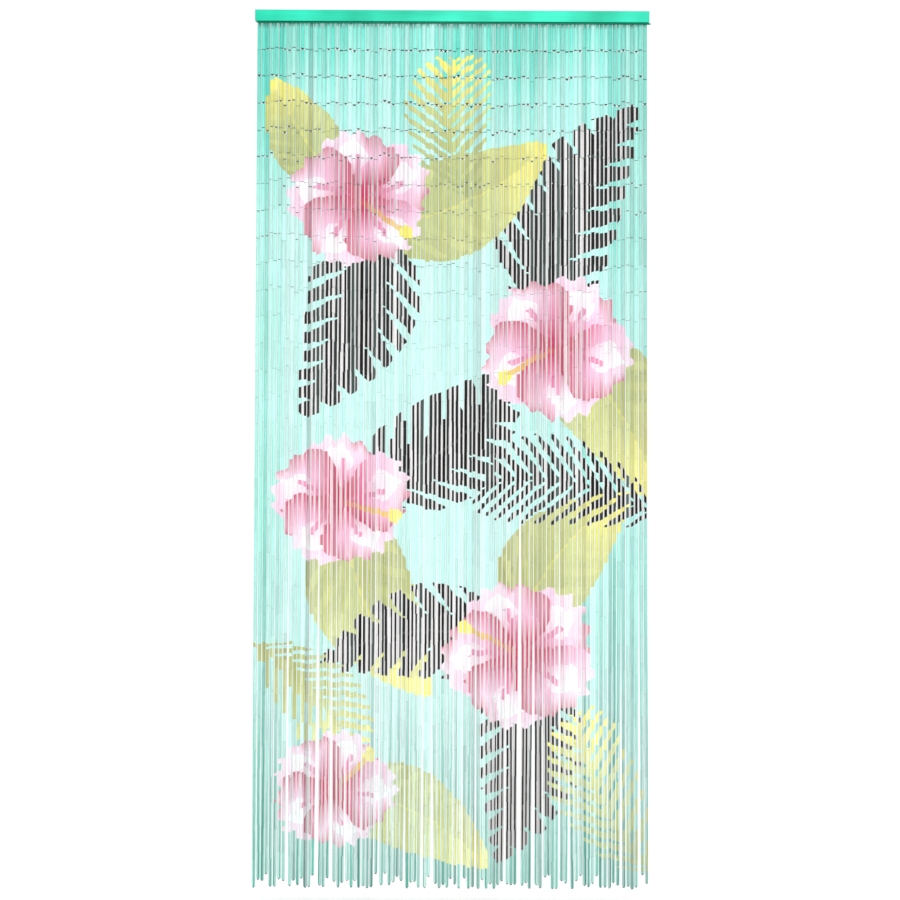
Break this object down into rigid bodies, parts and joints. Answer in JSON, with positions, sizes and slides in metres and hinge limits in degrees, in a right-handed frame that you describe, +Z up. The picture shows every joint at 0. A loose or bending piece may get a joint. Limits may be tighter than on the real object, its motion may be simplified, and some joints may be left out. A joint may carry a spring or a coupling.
{
  "type": "bead curtain with header batten",
  "caption": "Door curtain of painted bamboo tubes on wire links, hanging in close strands from a painted wooden header batten.",
  "frame": {"origin": "middle of the header batten's flat back face", "axes": "+X along the batten to the right as seen from the front, +Y out of the batten's back face towards the wall, so the front faces -Y, +Z up"},
  "size_m": [0.9069, 0.018, 2.003],
  "materials": {
    "batten_paint": "wood with satin turquoise paint",
    "tube_paint": "bamboo with satin paint in mint, pink, green and charcoal",
    "link_wire": "dull drawn steel wire"
  },
  "bodies": {
    "root": {"header_batten": "batten_paint", "strand_curtain": "tube_paint"}
  },
  "joints": []
}
